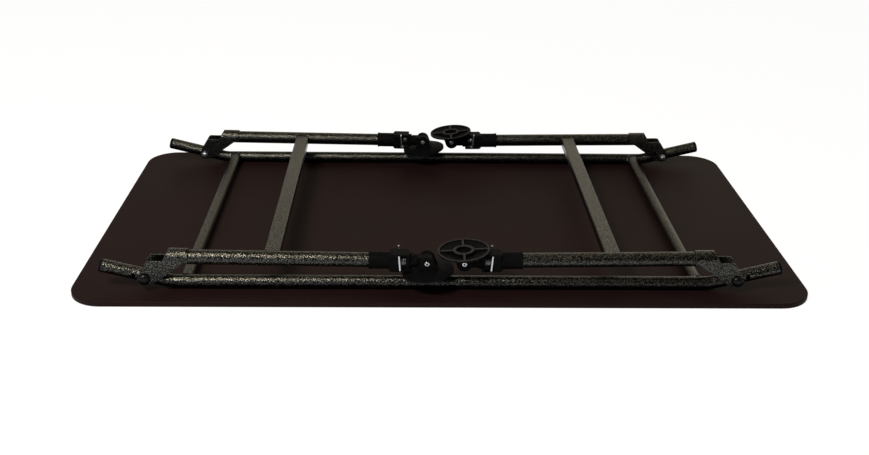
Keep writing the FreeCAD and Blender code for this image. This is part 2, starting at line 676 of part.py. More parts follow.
# Inner leg tube with a plastic guide bush in its hidden end
def make_inner_leg(label, side, row):
    base = Vector(size("inner_reach") - size("inner_length"), 0, 0)
    outside = cylinder("inner_outside", "Sizes.inner_radius", "Sizes.inner_length", base, Z_TO_X)
    bore = cylinder("inner_bore", "Sizes.inner_radius - Sizes.inner_wall", "Sizes.inner_length", base, Z_TO_X)
    leg = cut(label, outside, bore)
    leg.Placement = axis_frame(side, row)
    return finished(leg, label)


def make_guide_bush(label, side, row):
    guide = "Sizes.leg_radius - Sizes.leg_wall - Sizes.slide_clearance"
    stem = "Sizes.inner_radius - Sizes.inner_wall"
    profile = [
        ("-Sizes.bush_length", "0"), ("-Sizes.bush_length", guide + " - Sizes.lead_in"),
        ("Sizes.lead_in - Sizes.bush_length", guide),
        ("0", guide), ("0", stem), ("Sizes.bush_stem", stem), ("Sizes.bush_stem", "0"),
    ]
    end = Placement(Vector(size("inner_reach") - size("inner_length"), 0, 0), AHEAD)
    return finished(turned(label, profile, axis_frame(side, row) * end), label)


# Ankle: plug in the inner leg's end with a tongue for the foot pin
def make_ankle(label, side, row):
    place = axis_frame(side, row)
    collar_end = "Sizes.inner_reach + Sizes.ankle_collar_length"
    stem = "Sizes.inner_radius - Sizes.inner_wall"
    stem_start = "Sizes.inner_reach - Sizes.ankle_stem"
    body = new_body(label, place)
    plug = plane_sketch(body, "XZ_Plane", "plug_profile")
    draw_outline(plug, [
        (stem_start, "0"), (stem_start, stem), ("Sizes.inner_reach", stem),
        ("Sizes.inner_reach", "Sizes.ankle_collar"), (collar_end, "Sizes.ankle_collar"), (collar_end, "0"),
    ])
    spin(body, "plug", plug, "H_Axis")
    tongue = plane_sketch(body, "XZ_Plane", "tongue_outline")
    draw_box(tongue, "Sizes.inner_reach", "Sizes.ankle_pin",
             "-0.8 * Sizes.tongue_lobe", "0.8 * Sizes.tongue_lobe")
    add_feature(body, "Pad", "tongue", tongue, bound="2 * Sizes.tongue_half", Midplane=True)
    lobe = plane_sketch(body, "XZ_Plane", "lobe_outline")
    draw_circle(lobe, "Sizes.tongue_lobe", "Sizes.ankle_pin")
    add_feature(body, "Pad", "lobe", lobe, bound="2 * Sizes.tongue_half", Midplane=True)
    hole = plane_sketch(body, "XZ_Plane", "pin_hole")
    draw_circle(hole, "Sizes.pin_radius + Sizes.pin_clearance", "Sizes.ankle_pin")
    add_feature(body, "Pocket", "pin_bore", hole, **THROUGH)
    return finished(body, label)


# Foot: dished disc with a rim, hub ring and ribs on its sole and two ears on its back
def foot_frame(side, row):
    pin = axis_frame(side, row).multVec(Vector(size("ankle_pin"), 0, 0))
    tilt_name = ("far" if row > 0 else "near") + ("_right" if side > 0 else "_left") + "_tilt"
    tilt = Rotation(Vector(0, -1, 0), size(tilt_name))
    flip = Rotation(Vector(1, 0, 0), 180 if side > 0 else 0)
    return Placement(pin, tilt * flip)


def make_foot(label, side, row):
    body = new_body(label, foot_frame(side, row))
    sole = "-Sizes.foot_depth"
    floor_top = "-(Sizes.tongue_lobe + 1)"
    floor_low = floor_top + " - Sizes.foot_floor"
    rim_inner = "Sizes.foot_radius - Sizes.foot_rim"
    profile = plane_sketch(body, "XZ_Plane", "foot_profile")
    draw_outline(profile, [
        ("0", floor_low), ("Sizes.foot_hub_hole", floor_low), ("Sizes.foot_hub_hole", sole),
        ("Sizes.foot_hub", sole), ("Sizes.foot_hub", floor_low + " + 0.5"),
        (rim_inner, sole + " + Sizes.foot_dish"), (rim_inner, sole),
        ("Sizes.foot_radius", sole), ("Sizes.foot_radius", sole + " + Sizes.foot_rim_height"),
        ("Sizes.foot_hub + 0.5", floor_top), ("0", floor_top),
    ])
    spin(body, "disc", profile, "V_Axis")
    rib = plane_sketch(body, "XZ_Plane", "rib_outline")
    draw_outline(rib, [
        ("Sizes.foot_hub - 1", sole), (rim_inner + " + 0.8", sole),
        (rim_inner + " + 0.8", sole + " + Sizes.foot_dish + 0.4"), ("Sizes.foot_hub - 1", floor_low + " + 0.9"),
    ])
    spoke = add_feature(body, "Pad", "rib", rib, bound="Sizes.foot_spoke_width", Midplane=True)
    ring = body.newObject("PartDesign::PolarPattern", "ribs")
    ring.Originals = [spoke]
    ring.Axis = (profile, ["V_Axis"])
    ring.Angle = 360
    ring.Occurrences = int(size("foot_spokes"))
    body.Tip = ring
    ears = plane_sketch(body, "XZ_Plane", "ear_outline")
    draw_outline(ears, [
        ("-Sizes.ear_base", floor_low + " + 1"), ("Sizes.ear_base", floor_low + " + 1"),
        ("0.96 * Sizes.ear_lobe", "0.28 * Sizes.ear_lobe"), ("-0.96 * Sizes.ear_lobe", "0.28 * Sizes.ear_lobe"),
    ])
    ear_width = "2 * (Sizes.tongue_half + Sizes.ear_gap + Sizes.ear_wall)"
    add_feature(body, "Pad", "ear_block", ears, bound=ear_width, Midplane=True)
    top = plane_sketch(body, "XZ_Plane", "ear_top")
    draw_circle(top, "Sizes.ear_lobe")
    add_feature(body, "Pad", "ear_round", top, bound=ear_width, Midplane=True)
    slot = plane_sketch(body, "YZ_Plane", "ear_slot")
    slot_half = "Sizes.tongue_half + Sizes.ear_gap"
    draw_box(slot, "-(" + slot_half + ")", slot_half, floor_top, "2 * Sizes.ear_lobe")
    add_feature(body, "Pocket", "ear_gap", slot, **THROUGH)
    hole = plane_sketch(body, "XZ_Plane", "ear_hole")
    draw_circle(hole, "Sizes.pin_radius")
    add_feature(body, "Pocket", "ear_bore", hole, **THROUGH)
    return finished(body, label)


# Hollow rivet that holds the foot to the ankle
def make_foot_pin(label, side, row):
    face = "(Sizes.tongue_half + Sizes.ear_gap + Sizes.ear_wall)"
    end = "(" + face + " + Sizes.pin_head_height)"
    bevel_start = "(" + end + " - Sizes.pin_bevel)"
    bevel_top = "Sizes.pin_head - Sizes.pin_bevel"
    profile = [
        ("-" + end, "Sizes.pin_bore"), ("-" + end, bevel_top), ("-" + bevel_start, "Sizes.pin_head"),
        ("-" + face, "Sizes.pin_head"), ("-" + face, "Sizes.pin_radius"), (face, "Sizes.pin_radius"),
        (face, "Sizes.pin_head"), (bevel_start, "Sizes.pin_head"), (end, bevel_top), (end, "Sizes.pin_bore"),
    ]
    place = foot_frame(side, row) * Placement(Vector(0, 0, 0), X_TO_Y)
    return finished(turned(label, profile, place), label)


make_table_top()
make_top_screws()
make_rail("near_rail", ROWS["near"])
make_rail("far_rail", ROWS["far"])
make_rail_end_plugs()
for side_name, hand in SIDES.items():
    make_cross_tube(side_name + "_cross_tube", hand)
    make_leg_bar(side_name + "_leg_bar", hand)
make_pivots()
for side_name, hand in SIDES.items():
    for row_name, away in ROWS.items():
        stem = side_name + "_" + row_name
        make_outer_leg(stem + "_leg", hand, away)
        make_hinge_bracket(stem + "_hinge_bracket", hand, away)
        make_lock_housing(stem + "_lock_housing", hand, away)
        make_lock_plate(stem + "_lock_plate", hand, away)
        make_lock_spring(stem + "_lock_spring", hand, away)
        make_inner_leg(stem + "_inner_leg", hand, away)
        make_guide_bush(stem + "_guide_bush", hand, away)
        make_ankle(stem + "_ankle", hand, away)
        make_foot(stem + "_foot", hand, away)
        make_foot_pin(stem + "_foot_pin", hand, away)

doc.recompute()

# Every object is checked before anything is written
for item in doc.Objects:
    if "Invalid" in item.State or "Error" in item.State:
        raise RuntimeError(f"{item.Name} did not compute: {item.State}")
for node in nodes:
    if node.Shape.isNull() or not node.Shape.isValid():
        raise RuntimeError(f"{node.Label} has no valid shape")

os.makedirs("parts", exist_ok=True)
for node in nodes:
    node.Shape.exportStep(os.path.join("parts", node.Label + ".step"))
print(len(nodes), "parts written")
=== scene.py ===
import math

import bmesh
import bpy
from mathutils import Matrix, Vector


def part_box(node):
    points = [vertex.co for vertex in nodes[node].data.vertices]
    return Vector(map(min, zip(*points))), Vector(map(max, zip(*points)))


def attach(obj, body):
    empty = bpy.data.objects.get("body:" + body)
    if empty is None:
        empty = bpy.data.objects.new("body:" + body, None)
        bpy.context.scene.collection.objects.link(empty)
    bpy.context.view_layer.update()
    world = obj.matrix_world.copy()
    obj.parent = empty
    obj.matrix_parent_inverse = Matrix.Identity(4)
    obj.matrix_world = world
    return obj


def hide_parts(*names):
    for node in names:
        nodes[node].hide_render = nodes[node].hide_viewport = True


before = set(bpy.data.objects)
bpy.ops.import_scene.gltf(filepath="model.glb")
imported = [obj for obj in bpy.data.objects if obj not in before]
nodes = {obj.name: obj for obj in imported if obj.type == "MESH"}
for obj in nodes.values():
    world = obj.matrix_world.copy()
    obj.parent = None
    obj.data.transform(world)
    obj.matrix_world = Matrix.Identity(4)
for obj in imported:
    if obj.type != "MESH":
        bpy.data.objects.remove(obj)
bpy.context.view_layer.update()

scene = bpy.context.scene
scene.view_settings.view_transform = "Standard"
MM = 0.001

# Camera: stands in front of the long side and looks down on the folded underside.
# Its place and lens come from the top's corners and the tubes in the picture.
CAMERA_PLACE = Vector((-0.05528, -1.69520, 0.75536))
PITCH, YAW, ROLL = (math.radians(angle) for angle in (24.334, 1.668, 0.972))
ahead = Vector((math.sin(YAW) * math.cos(PITCH), math.cos(YAW) * math.cos(PITCH), -math.sin(PITCH)))
level = Vector((math.cos(YAW), -math.sin(YAW), 0))
upward = level.cross(ahead)
across = math.cos(ROLL) * level + math.sin(ROLL) * upward
raised = math.cos(ROLL) * upward - math.sin(ROLL) * level
lens = bpy.data.cameras.new("camera")
lens.sensor_width = 36
lens.lens = 44.77
camera = bpy.data.objects.new("camera", lens)
facing = Matrix((across, raised, -ahead)).transposed()
camera.matrix_world = Matrix.Translation(CAMERA_PLACE) @ facing.to_4x4()
scene.collection.objects.link(camera)
scene.camera = camera

# Table top: a sheet of thin plywood, faced on both sides with dark brown phenolic film
# and sealed round its edge. It lies face down, so its underside is up.
FILM = ("#170D0E", "#1F1314")
EDGE = ("#140C0D", "#211415")
GRAIN_WIDTH, GRAIN_STRETCH = 1.6 * MM, 25
CLOUD_WIDTH = 180 * MM
PLY = 1.6 * MM


def linear(colour):
    channels = [int(colour[start:start + 2], 16) / 255 for start in (1, 3, 5)]
    return [c / 12.92 if c <= 0.04045 else ((c + 0.055) / 1.055) ** 2.4 for c in channels] + [1]


def new_material(name):
    material = bpy.data.materials.new(name)
    material.use_nodes = True
    material.node_tree.nodes.clear()
    return material, material.node_tree


def add(tree, kind, inputs, **settings):
    node = tree.nodes.new("ShaderNode" + kind)
    for name, setting in settings.items():
        setattr(node, name, setting)
    for socket, source in inputs.items():
        if isinstance(source, bpy.types.NodeSocket):
            tree.links.new(source, node.inputs[socket])
        else:
            node.inputs[socket].default_value = source
    return node


def object_place(tree):
    return add(tree, "TexCoord", {}).outputs["Object"]


def blend(tree, share, first, second):
    return add(tree, "MixRGB", {"Fac": share, "Color1": linear(first), "Color2": linear(second)}).outputs[0]


def coat(tree, inputs):
    shader = add(tree, "BsdfPrincipled", inputs)
    add(tree, "OutputMaterial", {"Surface": shader.outputs[0]})


# Film-faced plywood: the pressed film shows the wood under it as fine low streaks along the board,
# with slow clouding and a satin shine; the sealed edge shows its plies as faint lines.
def make_film_plywood():
    material, tree = new_material("film_faced_plywood")
    place = object_place(tree)
    stretched = add(tree, "Mapping", {"Vector": place, "Scale": (1 / GRAIN_STRETCH, 1, 1)})
    streaks = add(tree, "TexNoise", {"Vector": stretched.outputs[0], "Scale": 1 / GRAIN_WIDTH, "Detail": 4})
    clouds = add(tree, "TexNoise", {"Vector": place, "Scale": 1 / CLOUD_WIDTH, "Detail": 3})
    both = add(tree, "Math", {0: streaks.outputs["Fac"], 1: clouds.outputs["Fac"]}, operation="ADD")
    spread = add(tree, "MapRange", {"Value": both.outputs[0], "From Min": 0.72, "From Max": 1.28})
    film = blend(tree, spread.outputs[0], *FILM)
    plies = add(tree, "TexWave", {"Vector": place, "Scale": 1 / (PLY * math.tau), "Distortion": 0.6},
                bands_direction="Z")
    edge = blend(tree, plies.outputs["Fac"], *EDGE)
    up = add(tree, "SeparateXYZ", {"Vector": add(tree, "NewGeometry", {}).outputs["Normal"]})
    flat = add(tree, "Math", {0: up.outputs["Z"]}, operation="ABSOLUTE")
    faced = add(tree, "MapRange", {"Value": flat.outputs[0], "From Min": 0.35, "From Max": 0.7})
    colour = add(tree, "MixRGB", {"Fac": faced.outputs[0], "Color1": edge, "Color2": film})
    rough = add(tree, "MapRange", {"Value": clouds.outputs["Fac"], "To Min": 0.46, "To Max": 0.6})
    relief = add(tree, "Bump", {"Height": streaks.outputs["Fac"], "Strength": 0.25, "Distance": 0.05 * MM})
    coat(tree, {"Base Color": colour.outputs[0], "Roughness": rough.outputs[0], "Normal": relief.outputs[0],
                "Specular IOR Level": 0.045})
    return material


film_plywood = make_film_plywood()


def finish_node(name, material):
    nodes[name].material_slots[0].material = material


finish_node("table_top", film_plywood)

# Top screws: ten zinc-plated countersunk screws through the top into the rails.
# Their cross-recessed heads lie flush in the face of the table.
ZINC = ("#A9ACB0", "#D6D8DA")
RAIL_Y, SCREW_PITCH, SCREW_LIFT = 262, 170, 0.05
SCREW_PLACES = [(step * SCREW_PITCH, row * RAIL_Y) for row in (-1, 1) for step in range(-2, 3)]
HEAD, SHANK, HEAD_DEPTH, SCREW_END = 3.9, 1.95, 1.95, 13.9
RECESS_ARM, RECESS_HALF, RECESS_DEPTH, RECESS_TAPER = 1.9, 0.45, 1.3, 0.75
TIP_LENGTH, TIP_TAPER = 3.9, 0.15
SHARP_ANGLE = math.radians(38)


# Bare or plated steel: slightly cloudy, with fine crystals that break the shine.
def make_steel(name, colours):
    material, tree = new_material(name)
    place = object_place(tree)
    crystals = add(tree, "TexVoronoi", {"Vector": place, "Scale": 1 / (0.7 * MM)})
    clouds = add(tree, "TexNoise", {"Vector": place, "Scale": 1 / (2.5 * MM), "Detail": 4})
    colour = blend(tree, clouds.outputs["Fac"], *colours)
    rough = add(tree, "MapRange", {"Value": crystals.outputs["Color"], "To Min": 0.24, "To Max": 0.38})
    relief = add(tree, "Bump", {"Height": clouds.outputs["Fac"], "Strength": 0.3, "Distance": 0.05 * MM})
    coat(tree, {"Base Color": colour, "Metallic": 1.0, "Roughness": rough.outputs[0],
                "Normal": relief.outputs[0]})
    return material


zinc_steel = make_steel("zinc_plated_steel", ZINC)


def add_piece(name, bm, material, body, slot, *stands_for):
    bmesh.ops.recalc_face_normals(bm, faces=bm.faces)
    mesh = bpy.data.meshes.new(name)
    bm.to_mesh(mesh)
    bm.free()
    mesh.materials.append(material)
    mesh.shade_smooth()
    mesh.set_sharp_from_angle(angle=SHARP_ANGLE)
    piece = bpy.data.objects.new(name, mesh)
    scene.collection.objects.link(piece)
    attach(piece, body)
    if stands_for:
        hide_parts(*stands_for)
    return piece


def gather(shape, places):
    pattern = bpy.data.meshes.new("pattern")
    shape.to_mesh(pattern)
    shape.free()
    whole = bmesh.new()
    for place in places:
        copy = pattern.copy()
        copy.transform(place)
        whole.from_mesh(copy)
        bpy.data.meshes.remove(copy)
    bpy.data.meshes.remove(pattern)
    return whole


def draw_out(bm, edges, scale, move):
    result = bmesh.ops.extrude_edge_only(bm, edges=edges)
    fresh = [item for item in result["geom"] if isinstance(item, bmesh.types.BMVert)]
    bmesh.ops.scale(bm, vec=(scale, scale, 1), verts=fresh)
    bmesh.ops.translate(bm, vec=(0, 0, move * MM), verts=fresh)
    return [item for item in result["geom"] if isinstance(item, bmesh.types.BMEdge)]


def make_screw():
    bm = bmesh.new()
    bmesh.ops.create_grid(bm, x_segments=3, y_segments=3, size=RECESS_ARM * MM)
    for vert in bm.verts:
        for axis in (0, 1):
            if abs(vert.co[axis]) < RECESS_ARM * MM * 0.5:
                vert.co[axis] = math.copysign(RECESS_HALF * MM, vert.co[axis])
    square = [edge for edge in bm.edges if edge.is_boundary]
    arms = [face for face in bm.faces if min(abs(c) for c in face.calc_center_median()[:2]) < 0.1 * MM]
    sunk = bmesh.ops.extrude_face_region(bm, geom=arms)
    bmesh.ops.delete(bm, geom=arms, context="FACES_ONLY")
    deep = [item for item in sunk["geom"] if isinstance(item, bmesh.types.BMVert)]
    bmesh.ops.translate(bm, vec=(0, 0, RECESS_DEPTH * MM), verts=deep)
    bmesh.ops.scale(bm, vec=(RECESS_TAPER, RECESS_TAPER, 1), verts=deep)
    ring = bmesh.ops.create_circle(bm, segments=24, radius=HEAD * MM)["verts"]
    rim = [edge for edge in bm.edges if all(vert in ring for vert in edge.verts)]
    bmesh.ops.bridge_loops(bm, edges=square + rim)
    cone = draw_out(bm, rim, SHANK / HEAD, HEAD_DEPTH)
    cone = [edge for edge in cone if edge.is_boundary]
    shank = draw_out(bm, cone, 1, SCREW_END - HEAD_DEPTH - TIP_LENGTH)
    tip = draw_out(bm, [edge for edge in shank if edge.is_boundary], TIP_TAPER, TIP_LENGTH)
    bmesh.ops.edgeloop_fill(bm, edges=[edge for edge in tip if edge.is_boundary])
    return bm


screw_spots = [Matrix.Translation(Vector((x, y, SCREW_LIFT)) * MM) for x, y in SCREW_PLACES]
screws = gather(make_screw(), screw_spots)
add_piece("recessed_screws", screws, zinc_steel, "frame", "zinc_steel", "top_screws")

# Rails: two round steel tubes screwed under the top, with both ends bent away from it.
# They have a hammer-finish paint, and a small hole in the outer wall of each bent end.
# Paint tones: the light one is partly a painted highlight and the dark one partly painted shade, over the
# paint's own mottle.
PAINT_MOTTLE_AND_SHADING = ("#212120", "#464643", "#7C7B74")
DIMPLE = 2.0 * MM


# Hammer-finish paint: metal flakes gather in small pools as it dries, so it is dimpled all over
# and glints from the rims of the dimples; the pools are drawn a little large, so that they show.
def make_hammer_paint():
    material, tree = new_material("hammer_finish_paint")
    place = object_place(tree)
    wander = add(tree, "TexNoise", {"Vector": place, "Scale": 1 / (3 * MM), "Detail": 2})
    shift = add(tree, "VectorMath", {0: wander.outputs["Color"], 1: (0.5, 0.5, 0.5)}, operation="SUBTRACT")
    small = add(tree, "VectorMath", {0: shift.outputs[0], "Scale": 1.6 * MM}, operation="SCALE")
    moved = add(tree, "VectorMath", {0: place, 1: small.outputs[0]}, operation="ADD")
    pools = add(tree, "TexVoronoi", {"Vector": moved.outputs[0], "Scale": 1 / DIMPLE, "Smoothness": 0.6},
                feature="SMOOTH_F1")
    flakes = add(tree, "TexNoise", {"Vector": place, "Scale": 1 / (0.8 * MM), "Detail": 3})
    # The colour follows the relief, lighter where it is high and darker where it is low: partly the paint's
    # own mottle, partly painted highlight and painted shade.
    ramp = add(tree, "ValToRGB", {"Fac": pools.outputs["Distance"]})
    ramp.color_ramp.elements[0].position = 0.12
    ramp.color_ramp.elements[0].color = linear(PAINT_MOTTLE_AND_SHADING[2])
    ramp.color_ramp.elements[1].position = 0.62
    ramp.color_ramp.elements[1].color = linear(PAINT_MOTTLE_AND_SHADING[0])
    ramp.color_ramp.elements.new(0.34).color = linear(PAINT_MOTTLE_AND_SHADING[1])
    rough = add(tree, "MapRange", {"Value": flakes.outputs["Fac"], "To Min": 0.2, "To Max": 0.38})
    relief = add(tree, "Bump", {"Height": pools.outputs["Distance"], "Strength": 0.85, "Distance": 0.55 * MM},
                 invert=True)
    coat(tree, {"Base Color": ramp.outputs["Color"], "Metallic": 1.0, "Roughness": rough.outputs[0],
                "Normal": relief.outputs[0]})
    return material


hammer_paint = make_hammer_paint()
for row in ("near", "far"):
    finish_node(row + "_rail", hammer_paint)

# Rail end plugs: black moulded plugs pushed into the open ends of the rails.
# Each has a domed face with a shallow dish left by the mould.
PLASTIC = ("#060607", "#0E0E10")
FLOW = 14 * MM
RAIL_Z, BEND_X, BEND_ANGLE, STUB = 18, 400, math.radians(14.2), 104
PLUG_PROFILE = [(0, 3.9), (5.4, 3.9), (6.2, 4.4), (7.4, 4.4), (8.9, 3.7), (9.7, 2.7), (10, 1.4), (9.9, 0),
                (8.4, 0), (8.4, -13), (7.4, -14), (0, -14)]


# Black nylon: near black, satin or polished, with the fine even grain of a sparked mould.
def make_black_plastic(name, smooth, rough, shine):
    material, tree = new_material(name)
    place = object_place(tree)
    grain = add(tree, "TexNoise", {"Vector": place, "Scale": 1 / (0.6 * MM), "Detail": 3})
    flow = add(tree, "TexNoise", {"Vector": place, "Scale": 1 / FLOW, "Detail": 3})
    colour = blend(tree, flow.outputs["Fac"], *PLASTIC)
    gloss = add(tree, "MapRange", {"Value": flow.outputs["Fac"], "To Min": smooth, "To Max": rough})
    relief = add(tree, "Bump", {"Height": grain.outputs["Fac"], "Strength": 0.3, "Distance": 0.08 * MM})
    coat(tree, {"Base Color": colour, "Roughness": gloss.outputs[0], "Normal": relief.outputs[0],
                "Specular IOR Level": shine})
    return material


black_plastic = make_black_plastic("moulded_black_nylon", 0.42, 0.56, 0.02)


def turn(profile, steps=48):
    bm = bmesh.new()
    verts = [bm.verts.new((radius * MM, 0, height * MM)) for radius, height in profile]
    edges = [bm.edges.new(pair) for pair in zip(verts, verts[1:])]
    bmesh.ops.spin(bm, geom=verts + edges, cent=(0, 0, 0), axis=(0, 0, 1), angle=2 * math.pi, steps=steps,
                   use_merge=True)
    bmesh.ops.remove_doubles(bm, verts=bm.verts, dist=0.01 * MM)
    return bm


def stub_end(side, row):
    along, rise = STUB * math.cos(BEND_ANGLE), STUB * math.sin(BEND_ANGLE)
    end = Vector((side * (BEND_X + along), row * RAIL_Y, RAIL_Z + rise))
    lean = Matrix.Rotation(side * (math.pi / 2 - BEND_ANGLE), 4, "Y")
    return Matrix.Translation(end * MM) @ lean


CORNERS = [(side, row) for side in (-1, 1) for row in (-1, 1)]
plugs = gather(turn(PLUG_PROFILE), [stub_end(*corner) for corner in CORNERS])
add_piece("domed_rail_plugs", plugs, black_plastic, "frame", "black_plastic", "rail_end_plugs")

# Cross tubes: two lighter round tubes, shaped at their ends to sit against the rails.
# Each end is welded to its rail round the sides and top, and painted with the rest.
CROSS_X, CROSS_RADIUS, RAIL_RADIUS = 381, 9.2, 10.2
BEAD, RIPPLE = 2.0, 2.2
BEAD_WAIST, BEAD_SWELL = 0.88, 0.2
BEAD_END, BEAD_GROWTH = 0.3, 0.25
SADDLE_START, SADDLE_SWEEP, SADDLE_STEPS = -48, 276, 100
for side in ("left", "right"):
    finish_node(side + "_cross_tube", hammer_paint)


# A weld bead along a path: it swells once in each ripple, and an open one thins out at its ends.
def weld_bead(path, closed, thickness):
    curve = bpy.data.curves.new("bead", "CURVE")
    curve.dimensions = "3D"
    curve.bevel_depth = thickness * MM
    curve.bevel_resolution = 2
    curve.use_fill_caps = True
    spline = curve.splines.new("POLY")
    spline.points.add(len(path) - 1)
    run = 0
    for step, (point, spot) in enumerate(zip(spline.points, path)):
        run += (Vector(spot) - Vector(path[max(step - 1, 0)])).length
        from_end = min(step, len(path) - 1 - step)
        fade = 1 if closed else min(1, BEAD_END + BEAD_GROWTH * from_end)
        point.co = (*(Vector(spot) * MM), 1)
        point.radius = fade * (BEAD_WAIST + BEAD_SWELL * abs(math.sin(math.pi * run / RIPPLE)))
    spline.use_cyclic_u = closed
    holder = bpy.data.objects.new("bead", curve)
    mesh = bpy.data.meshes.new_from_object(holder)
    bpy.data.curves.remove(curve)
    return mesh


def saddle_path(side, row):
    path = []
    for step in range(SADDLE_STEPS + 1):
        angle = math.radians(SADDLE_START + SADDLE_SWEEP * step / SADDLE_STEPS)
        height = CROSS_RADIUS * math.sin(angle)
        reach = math.sqrt(RAIL_RADIUS ** 2 - height ** 2)
        along = CROSS_RADIUS * math.cos(angle)
        path.append((side * CROSS_X + along, row * (RAIL_Y - reach), RAIL_Z + height))
    return path


def join_meshes(meshes):
    bm = bmesh.new()
    for mesh in meshes:
        bm.from_mesh(mesh)
        bpy.data.meshes.remove(mesh)
    return bm


frame_beads = join_meshes([weld_bead(saddle_path(*corner), False, BEAD) for corner in CORNERS])
add_piece("frame_welds", frame_beads, hammer_paint, "frame", "hammer_paint")

# Leg pivots: at each rail end a zinc-plated bolt with a hexagon nut on the inner side,
# a black domed cap pressed over its head outside, and a nylon washer each side of the rail.
PIVOT_X, PIVOT_Z = 438.0, 27.616
CHEEK_FACE, NUT_FLATS, NUT_HEIGHT = 13.05, 10, 5
NUT_CORNER, NUT_BEVEL = 0.25, 0.55
BOLT_RADIUS, BOLT_TIP, BOLT_HEAD, BOLT_TOP = 3, 20.55, 5.4, 16.0
THREAD, THREAD_DEPTH, THREAD_START, THREAD_TURNS, THREAD_STEPS = 1.0, 0.45, 18.1, 1.5, 24
CREST, GROOVE, LEAD_IN, TIP_BEVEL = 0.08, 0.4, 0.2, 0.5
CAP_PROFILE = [(0, 7), (2.2, 6.95), (4.2, 6.55), (6.0, 5.8), (7.4, 4.8), (8.3, 3.5), (8.6, 2.4), (8.6, 0.9),
               (8.3, 0.5), (8.4, 0.1), (5.6, 0.1), (5.6, 3.1), (0, 3.1)]
NYLON = ("#CFCBBE", "#E3DFD3")


def pivot_place(side, row):
    outward = Matrix.Rotation(-row * math.pi / 2, 4, "X")
    return Matrix.Translation(Vector((side * PIVOT_X, row * RAIL_Y, PIVOT_Z)) * MM) @ outward


def make_cap():
    bm = turn(CAP_PROFILE)
    bmesh.ops.translate(bm, vec=(0, 0, CHEEK_FACE * MM), verts=bm.verts)
    return bm


def make_nut():
    bm = bmesh.new()
    corner = NUT_FLATS / math.sqrt(3)
    bmesh.ops.create_cone(bm, cap_ends=True, segments=6, radius1=corner * MM, radius2=corner * MM,
                          depth=NUT_HEIGHT * MM)
    bmesh.ops.translate(bm, vec=(0, 0, -(CHEEK_FACE + NUT_HEIGHT / 2) * MM), verts=bm.verts)
    corners = [edge for edge in bm.edges if abs(edge.verts[0].co.z - edge.verts[1].co.z) > MM]
    bmesh.ops.bevel(bm, geom=corners, offset=NUT_CORNER * MM, offset_type="OFFSET", segments=2, profile=0.5,
                    affect="EDGES", material=-1)
    outer_face = -(CHEEK_FACE + NUT_HEIGHT - 0.1) * MM
    outer = [edge for edge in bm.edges if all(vert.co.z < outer_face for vert in edge.verts)]
    bmesh.ops.bevel(bm, geom=outer, offset=NUT_BEVEL * MM, offset_type="OFFSET", segments=2, profile=0.5,
                    affect="EDGES", material=-1)
    return bm


def make_bolt():
    root = BOLT_RADIUS - THREAD_DEPTH
    bm = turn([(0, BOLT_TOP), (BOLT_HEAD, BOLT_TOP), (BOLT_HEAD, CHEEK_FACE), (BOLT_RADIUS, CHEEK_FACE),
               (BOLT_RADIUS, -THREAD_START), (root, -THREAD_START - LEAD_IN), (root, -BOLT_TIP + TIP_BEVEL),
               (root - THREAD_DEPTH, -BOLT_TIP), (0, -BOLT_TIP)], 32)
    ridge = [(root, GROOVE), (BOLT_RADIUS, CREST), (BOLT_RADIUS, -CREST), (root, -GROOVE)]
    start = -THREAD_START - GROOVE
    verts = [bm.verts.new((radius * MM, 0, (start + height) * MM)) for radius, height in ridge]
    first = [bm.edges.new(pair) for pair in zip(verts, verts[1:] + verts[:1])]
    made = bmesh.ops.spin(bm, geom=verts + first, cent=(0, 0, 0), axis=(0, 0, 1),
                          dvec=(0, 0, -THREAD * MM / THREAD_STEPS), angle=2 * math.pi * THREAD_TURNS,
                          steps=int(THREAD_TURNS * THREAD_STEPS))
    last = [item for item in made["geom_last"] if isinstance(item, bmesh.types.BMEdge)]
    for end in (first, last):
        bmesh.ops.edgeloop_fill(bm, edges=end)
    return bm


# Natural nylon: off-white and waxy, slightly uneven from the mould.
def make_white_nylon():
    material, tree = new_material("natural_nylon")
    flow = add(tree, "TexNoise", {"Vector": object_place(tree), "Scale": 1 / (5 * MM), "Detail": 3})
    colour = blend(tree, flow.outputs["Fac"], *NYLON)
    rough = add(tree, "MapRange", {"Value": flow.outputs["Fac"], "To Min": 0.35, "To Max": 0.5})
    relief = add(tree, "Bump", {"Height": flow.outputs["Fac"], "Strength": 0.2, "Distance": 0.1 * MM})
    coat(tree, {"Base Color": colour, "Roughness": rough.outputs[0], "Normal": relief.outputs[0]})
    return material


white_nylon = make_white_nylon()
glossy_plastic = make_black_plastic("polished_black_nylon", 0.16, 0.26, 0.14)
pivots = [pivot_place(*corner) for corner in CORNERS]
caps = gather(make_cap(), pivots)
add_piece("domed_pivot_caps", caps, glossy_plastic, "frame", "black_plastic", "pivot_caps")
add_piece("hexagon_nuts", gather(make_nut(), pivots), zinc_steel, "frame", "zinc_steel", "pivot_nuts")
add_piece("threaded_bolts", gather(make_bolt(), pivots), zinc_steel, "frame", "zinc_steel", "pivot_bolts")
finish_node("pivot_washers", white_nylon)

# Outer legs: four round steel tubes, tied into two pairs by a flat-sided bar.
# The bar's ends are shaped to the legs and welded all round.
LEG_SAG = math.radians(0.75)
BAR_ALONG, BAR_HALF_WIDTH, BAR_HALF_HEIGHT = 185, 12.0, 8.0
BAR_BEAD, BAR_STEPS, BAR_SQUARENESS = 1.2, 96, 0.4
LEG_OFFSET, LEG_RADIUS = 31, 11.2


def leg_place(side, row):
    pivot = Vector((side * PIVOT_X, row * RAIL_Y, PIVOT_Z)) * MM
    turned_over = Matrix.Rotation(math.pi if side > 0 else 0, 4, "Z")
    return Matrix.Translation(pivot) @ turned_over @ Matrix.Rotation(LEG_SAG, 4, "Y")


